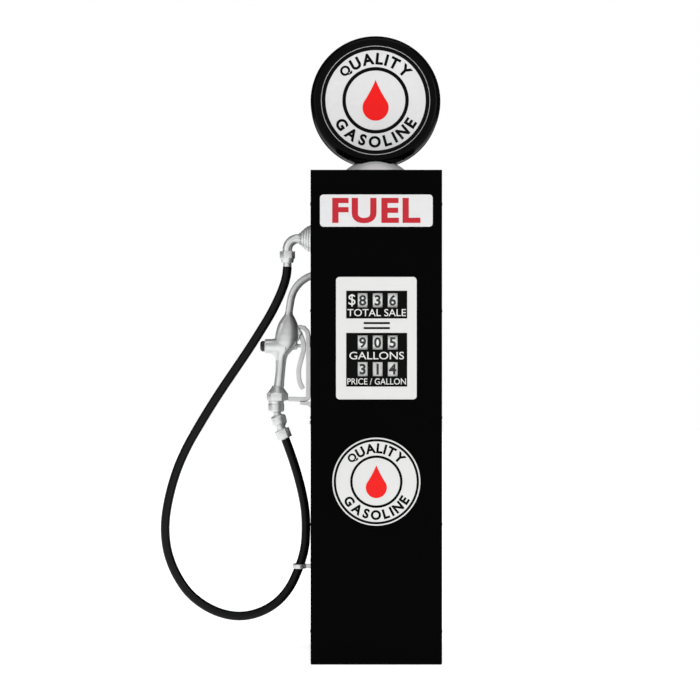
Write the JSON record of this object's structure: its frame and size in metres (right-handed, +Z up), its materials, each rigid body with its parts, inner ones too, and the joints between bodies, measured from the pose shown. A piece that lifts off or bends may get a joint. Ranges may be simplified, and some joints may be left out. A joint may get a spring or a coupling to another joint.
{
  "type": "gas pump",
  "caption": "Tall slim gas pump with a lit round globe, a sign, a dial of number wheels, a medallion, and a hung hose and nozzle on its side",
  "frame": {"origin": "middle of the cabinet's underside, on the floor", "axes": "+Z up, dial at -Y, hose and nozzle on the -X wall, rear door at +Y"},
  "size_m": [0.8796, 0.426, 1.942],
  "materials": {
    "black_enamel": "gloss black stove enamel on sheet steel",
    "dark_steel": "dark primer on rolled steel",
    "white_face": "gloss white printed acrylic",
    "globe_black": "moulded black globe body, high gloss",
    "cast_alloy": "bead-blasted cast aluminium",
    "bright_alloy": "turned and polished alloy",
    "clear_glass": "clear dial glass",
    "wheel_ivory": "printed number wheels",
    "hose_rubber": "smooth black hose cover",
    "cap_black": "moulded black plastic",
    "works_grey": "grey machinery paint",
    "works_red": "red oxide machinery paint",
    "pipe_steel": "mill-finish steel pipe",
    "zinc_steel": "zinc-plated steel",
    "cast_iron": "machined grey iron",
    "lamp_white": "opal lamp glass"
  },
  "bodies": {
    "cabinet": {"base_frame": "dark_steel", "corner_posts": "dark_steel", "top_plate": "black_enamel", "front_panel": "black_enamel", "left_panel": "black_enamel", "right_panel": "black_enamel", "panel_screws": "dark_steel", "shelves": "zinc_steel", "door_hinges": "dark_steel", "sign_lens": "white_face", "sign_box": "zinc_steel", "sign_lamp": "lamp_white", "dial_face": "white_face", "dial_glass": "clear_glass", "price_cards": "wheel_ivory", "medallion": "white_face", "register_frame": "zinc_steel", "register_gearbox": "zinc_steel", "globe_holder": "cast_alloy", "globe_body": "globe_black", "globe_lenses": "white_face", "globe_lamp": "lamp_white", "motor_housing": "works_grey", "drive_belt": "cap_black", "pump_housing": "cast_iron", "suction_pipe": "pipe_steel", "delivery_pipes": "pipe_steel", "air_separator": "works_red", "meter": "cast_iron", "junction_box": "works_grey", "outlet_bell": "cast_alloy", "outlet_elbow": "bright_alloy", "swivel_nut": "bright_alloy", "hose": "hose_rubber", "hose_clip": "bright_alloy", "nozzle_hook": "cast_alloy", "fixing_bolts": "zinc_steel", "spout_socket": "pipe_steel", "swivel_ball": "bright_alloy", "hose_nut": "bright_alloy"},
    "rear_door": {"rear_door": "black_enamel"},
    "door_lock": {"door_lock": "bright_alloy"},
    "meter_drive": {"drive_shaft": "zinc_steel"},
    "sale_wheel_1": {"sale_wheel_1": "wheel_ivory"},
    "sale_wheel_2": {"sale_wheel_2": "wheel_ivory"},
    "sale_wheel_3": {"sale_wheel_3": "wheel_ivory"},
    "gallons_wheel_1": {"gallons_wheel_1": "wheel_ivory"},
    "gallons_wheel_2": {"gallons_wheel_2": "wheel_ivory"},
    "gallons_wheel_3": {"gallons_wheel_3": "wheel_ivory"},
    "motor_rotor": {"motor_rotor": "zinc_steel"},
    "pump_rotor": {"pump_rotor": "zinc_steel"},
    "nozzle": {"nozzle_body": "cast_alloy", "spout": "bright_alloy", "lever_pin": "bright_alloy", "guard": "cast_alloy", "stem_cap": "cap_black", "collar_nut": "cast_alloy", "swivel_socket": "cast_alloy"},
    "lever": {"lever": "cast_alloy"},
    "valve_stem": {"valve_stem": "bright_alloy"}
  },
  "joints": [
    {"name": "rear_door_hinge", "type": "hinge", "parent": "cabinet", "child": "rear_door", "pos_m": [0.193, 0.205, 0.755], "axis": [0, 0, -1], "range_deg": [0, 110]},
    {"name": "door_lock_turn", "type": "hinge", "parent": "rear_door", "child": "door_lock", "pos_m": [-0.15, 0.205, 0.755], "axis": [0, 1, 0], "range_deg": [0, 90]},
    {"name": "meter_drive_spin", "type": "hinge", "parent": "cabinet", "child": "meter_drive", "pos_m": [0, -0.05, 0.8], "axis": [0, 0, 1], "continuous": true},
    {"name": "motor_spin", "type": "hinge", "parent": "cabinet", "child": "motor_rotor", "pos_m": [0, 0.108, 0.16], "axis": [1, 0, 0], "continuous": true},
    {"name": "pump_spin", "type": "hinge", "parent": "cabinet", "child": "pump_rotor", "pos_m": [0, -0.05, 0.19], "axis": [1, 0, 0], "continuous": true},
    {"name": "nozzle_tilt", "type": "hinge", "parent": "cabinet", "child": "nozzle", "pos_m": [-0.315, 0.04, 0.772], "axis": [0, -1, 0], "range_deg": [0, 25]},
    {"name": "lever_squeeze", "type": "hinge", "parent": "nozzle", "child": "lever", "pos_m": [-0.239, 0.04, 1.011], "axis": [0, 1, 0], "range_deg": [0, 10], "stiffness_Nm_per_rad": 2, "springref_deg": -5.73},
    {"name": "stem_slide", "type": "slide", "parent": "nozzle", "child": "valve_stem", "axis": [-1, 0, 0], "range_m": [0, 0.009]},
    {"name": "sale_wheel_1_spin", "type": "hinge", "parent": "cabinet", "child": "sale_wheel_1", "pos_m": [-0.0416, -0.1335, 1.108], "axis": [1, 0, 0], "continuous": true},
    {"name": "sale_wheel_2_spin", "type": "hinge", "parent": "cabinet", "child": "sale_wheel_2", "pos_m": [0.004, -0.1335, 1.108], "axis": [1, 0, 0], "continuous": true},
    {"name": "sale_wheel_3_spin", "type": "hinge", "parent": "cabinet", "child": "sale_wheel_3", "pos_m": [0.0496, -0.1335, 1.108], "axis": [1, 0, 0], "continuous": true},
    {"name": "gallons_wheel_1_spin", "type": "hinge", "parent": "cabinet", "child": "gallons_wheel_1", "pos_m": [-0.0416, -0.1335, 0.9796], "axis": [1, 0, 0], "continuous": true},
    {"name": "gallons_wheel_2_spin", "type": "hinge", "parent": "cabinet", "child": "gallons_wheel_2", "pos_m": [0.004, -0.1335, 0.9796], "axis": [1, 0, 0], "continuous": true},
    {"name": "gallons_wheel_3_spin", "type": "hinge", "parent": "cabinet", "child": "gallons_wheel_3", "pos_m": [0.0496, -0.1335, 0.9796], "axis": [1, 0, 0], "continuous": true}
  ],
  "couplings": [
    {"joint": "pump_spin", "follows": "motor_spin", "ratio": 0.5514},
    {"joint": "stem_slide", "follows": "lever_squeeze", "m_per_rad": 0.044},
    {"joint": "sale_wheel_1_spin", "follows": "meter_drive_spin", "ratio": 0.005},
    {"joint": "sale_wheel_2_spin", "follows": "meter_drive_spin", "ratio": 0.05},
    {"joint": "sale_wheel_3_spin", "follows": "meter_drive_spin", "ratio": 0.5},
    {"joint": "gallons_wheel_1_spin", "follows": "meter_drive_spin", "ratio": 0.0025},
    {"joint": "gallons_wheel_2_spin", "follows": "meter_drive_spin", "ratio": 0.025},
    {"joint": "gallons_wheel_3_spin", "follows": "meter_drive_spin", "ratio": 0.25}
  ]
}
